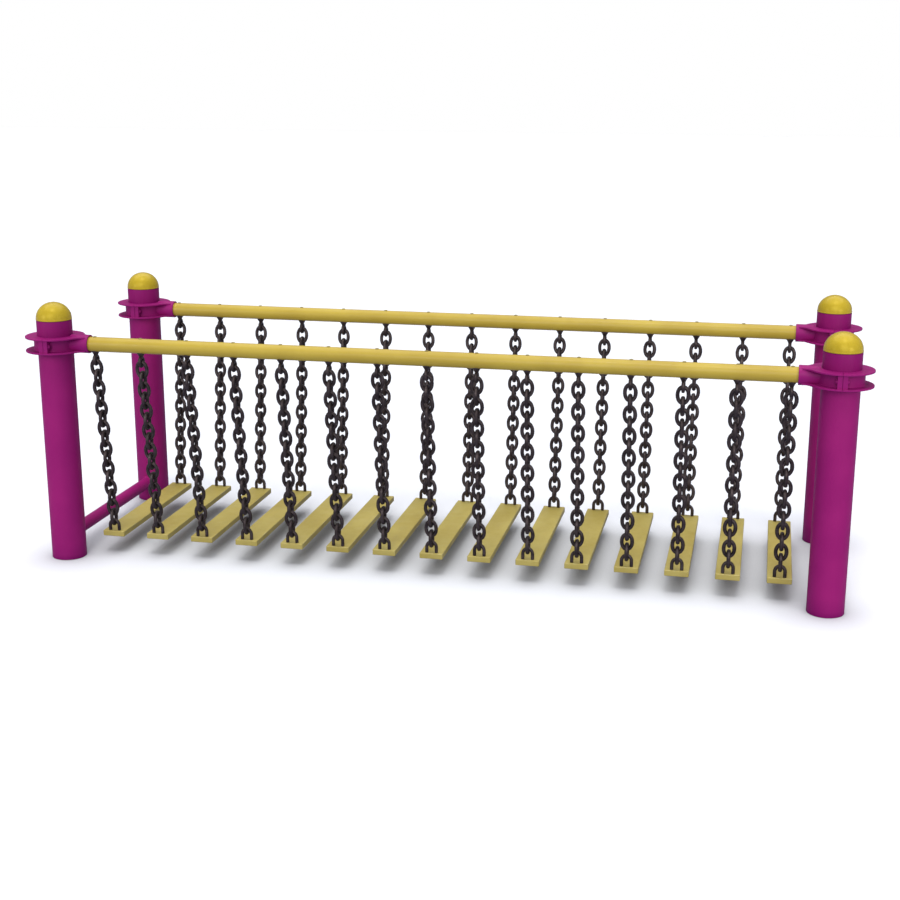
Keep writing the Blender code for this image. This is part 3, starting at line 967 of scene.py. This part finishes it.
def arch_part(post_side):
    """Return the arch near one end of a plank, with its legs down through the plank."""
    y = post_side * ARCH_Y
    leg_end = PLANK_BOTTOM + PLANK_THICKNESS * ARCH_LEG_END
    middle = ARCH_WIRE_HEIGHT - ARCH_CURVE_HEIGHT
    path = [(ARCH_HALF_WIDTH, y, leg_end)]
    for step in range(ARCH_STEPS + 1):
        angle = math.pi * step / ARCH_STEPS
        height = middle + ARCH_CURVE_HEIGHT * math.sin(angle)
        path.append((ARCH_HALF_WIDTH * math.cos(angle), y, height))
    path.append((-ARCH_HALF_WIDTH, y, leg_end))
    count = len(path)
    return swept(path, [WIRE_RADIUS] * count, [Vector((0, 1, 0))] * count, closed=False)


def build_planks(coat, dark):
    """Make each plank, its arches, and the heads that hold the arches' legs under it."""
    size = (PLANK_WIDTH, PLANK_LENGTH, PLANK_THICKNESS)
    board = rounded_box(size, PLANK_EDGE)
    rubbed = []
    for point in board[0]:
        flat = min(side / 2 - abs(place) for side, place in zip(size, point))
        rubbed.append(min(1.0, flat / (PLANK_EDGE * EDGE_SETBACK)))
    board_middle = (PLANK_TOP + PLANK_BOTTOM) / 2
    arches = [arch_part(side) for _, side in ROWS]
    head_top = PLANK_BOTTOM + LEG_HEAD_RISE
    head_profile = [(0, head_top), (LEG_HEAD_RADIUS, head_top)]
    head_profile += dome(LEG_HEAD_RADIUS, PLANK_BOTTOM, -LEG_HEAD_RISE)
    leg_head = turned(head_profile, FINE_SIDES)
    for index, pin in enumerate(PINS):
        number = f"{index + 1:02d}"
        body = f"swing_{number}"
        here = Matrix.Translation((pin.x, 0, 0))
        shape = Shape()
        shape.add(board, here @ Matrix.Translation((0, 0, board_middle)), rubbed)
        shape.piece(f"board_{number}", coat, body, [f"plank_{number}"], even=True)
        shape = Shape()
        for part in arches:
            reach = WIRE_WEAR_REACH * WIRE_RADIUS
            wear_and_shade = [max(0.0, 1 - abs(point.x) / reach) for point in part[0]]
            shape.add(part, here, wear_and_shade)
        shape.piece(f"arches_{number}", dark, body)
        shape = Shape()
        for _, side in ROWS:
            for way in (-1, 1):
                leg = here @ Matrix.Translation((way * ARCH_HALF_WIDTH, side * ARCH_Y, 0))
                shape.add(leg_head, leg)
        shape.piece(f"leg_heads_{number}", dark, body)


def fuller(value):
    """Return a sine or cosine made fuller, which turns an ellipse into a link's oval."""
    return math.copysign(abs(value) ** (2 / LINK_FULLNESS), value)


def link_part():
    """Return one oval link about the origin, upright in the XZ plane, and its wear.

    Its wire is forged a little thicker at the crowns, and swells at the weld in one side.
    """
    path = []
    radii = []
    swelling = LINK_CROWN_RADIUS - LINK_WIRE_RADIUS
    for i in range(LINK_STEPS):
        turn = 2 * math.pi * i / LINK_STEPS
        angle = math.atan2(LINK_HALF_LENGTH * math.sin(turn), LINK_HALF_WIDTH * math.cos(turn))
        across, along = fuller(math.cos(angle)), fuller(math.sin(angle))
        path.append((LINK_HALF_WIDTH * across, 0, LINK_HALF_LENGTH * along))
        radius = LINK_WIRE_RADIUS + swelling * math.sin(angle) ** LINK_CROWN_POWER
        radii.append(radius + LINK_WELD * math.exp(-((angle / LINK_WELD_ANGLE) ** 2)))
    part = swept(path, radii, [Vector((0, 1, 0))] * LINK_STEPS, closed=True)
    wear_and_shade = []
    reach = LINK_WEAR_REACH * LINK_WIRE_RADIUS
    for point in part[0]:
        inner = math.hypot(point.x / LINK_HALF_WIDTH, point.z / LINK_HALF_LENGTH) < 1
        wear_and_shade.append(max(0.0, 1 - abs(point.x) / reach) if inner else 0.0)
    return part, wear_and_shade


def build_chains(dark):
    """Make the links of each chain, which lie along X and across it in turn."""
    link, wear_and_shade = link_part()
    quarter_turn = Matrix.Rotation(QUARTER, 4, "Z")
    for index, pin in enumerate(PINS):
        number = f"{index + 1:02d}"
        for row, side in ROWS:
            shape = Shape()
            hang = Matrix.Translation((pin.x, side * POST_Y, PIN_HEIGHT))
            hang = hang @ Matrix.Rotation(-side * CHAIN_LEAN, 4, "X")
            for count in range(LINK_COUNT):
                below = LINK_PITCH / 2 - WIRE_RADIUS + count * LINK_PITCH
                matrix = hang @ Matrix.Translation((0, 0, -below))
                if count % 2:
                    matrix = matrix @ quarter_turn
                shape.add(link, matrix, wear_and_shade)
            name = f"links_{row}_{number}"
            shape.piece(name, dark, f"swing_{number}", [f"chain_{row}_{number}"])


def build_world():
    """Surround the bridge with white that lights it less than it shows."""
    world = bpy.data.worlds.new("studio")
    bpy.context.scene.world = world
    world.use_nodes = True
    tree = world.node_tree
    background = tree.nodes["Background"]
    seen = add_node(tree, "ShaderNodeLightPath").outputs["Is Camera Ray"]
    strength = ranged(tree, seen, (0.0, 1.0), (WORLD_LIGHT, 1.0))
    tree.links.new(strength, background.inputs["Strength"])
    tree.links.new(mixed(tree, seen, WORLD_COLOUR, WHITE), background.inputs["Color"])


def build_stage():
    """Add the pale floor and the soft lights."""
    bpy.ops.mesh.primitive_plane_add(size=FLOOR_SIZE, location=(0, 0, 0))
    floor = bpy.context.object
    floor.name = "floor"
    floor.data.materials.append(floor_paint())
    for name, place, aim, size, power in SOFT_BOXES:
        lamp = bpy.data.lights.new(name, "AREA")
        lamp.energy = power
        lamp.size = size
        lamp.spread = BOX_SPREAD
        light = bpy.data.objects.new(name, lamp)
        light.location = place
        light.rotation_euler = (Vector(aim) - Vector(place)).to_track_quat("-Z", "Y").to_euler()
        bpy.context.scene.collection.objects.link(light)
    for name, direction, strength, softness in SUNS:
        lamp = bpy.data.lights.new(name, "SUN")
        lamp.energy = strength
        lamp.angle = softness
        light = bpy.data.objects.new(name, lamp)
        light.rotation_euler = Vector(direction).to_track_quat("Z", "Y").to_euler()
        bpy.context.scene.collection.objects.link(light)


def build_camera():
    """Stand the camera where the photograph was taken from."""
    lens = bpy.data.cameras.new("photo_camera")
    lens.sensor_width = SENSOR_WIDTH
    lens.lens = CAMERA_FOCUS_PIXELS / IMAGE_PIXELS * SENSOR_WIDTH
    camera = bpy.data.objects.new("photo_camera", lens)
    yaw = Matrix.Rotation(CAMERA_YAW, 4, "Z")
    pitch = Matrix.Rotation(QUARTER - CAMERA_PITCH, 4, "X")
    roll = Matrix.Rotation(CAMERA_ROLL, 4, "Z")
    camera.matrix_world = Matrix.Translation(CAMERA_PLACE) @ yaw @ pitch @ roll
    bpy.context.scene.collection.objects.link(camera)
    bpy.context.scene.camera = camera


def main():
    """Build the whole scene."""
    build_camera()
    # The posts' coat carries the painted shade at their feet and on their stubs
    purple = powder_coat("purple_coat", POST_TONES, **MATT, painted_shade=POST_PAINTED_SHADE)
    clamp_purple = powder_coat("clamp_coat", CLAMP_TONES, **MATT)
    yellow = powder_coat("yellow_coat", RAIL_TONES, **SATIN)
    stud_coat = powder_coat("stud_coat", STUD_TONES, **DULL)
    dark = chain_steel()
    build_end_frames(purple)
    build_caps(cap_plastic())
    build_clamps(clamp_purple)
    build_rails(yellow, stud_coat, dark)
    build_planks(plank_coat(), dark)
    build_chains(dark)
    build_world()
    build_stage()
    bpy.context.scene.view_settings.view_transform = "Standard"


main()
bpy.context.view_layer.update()
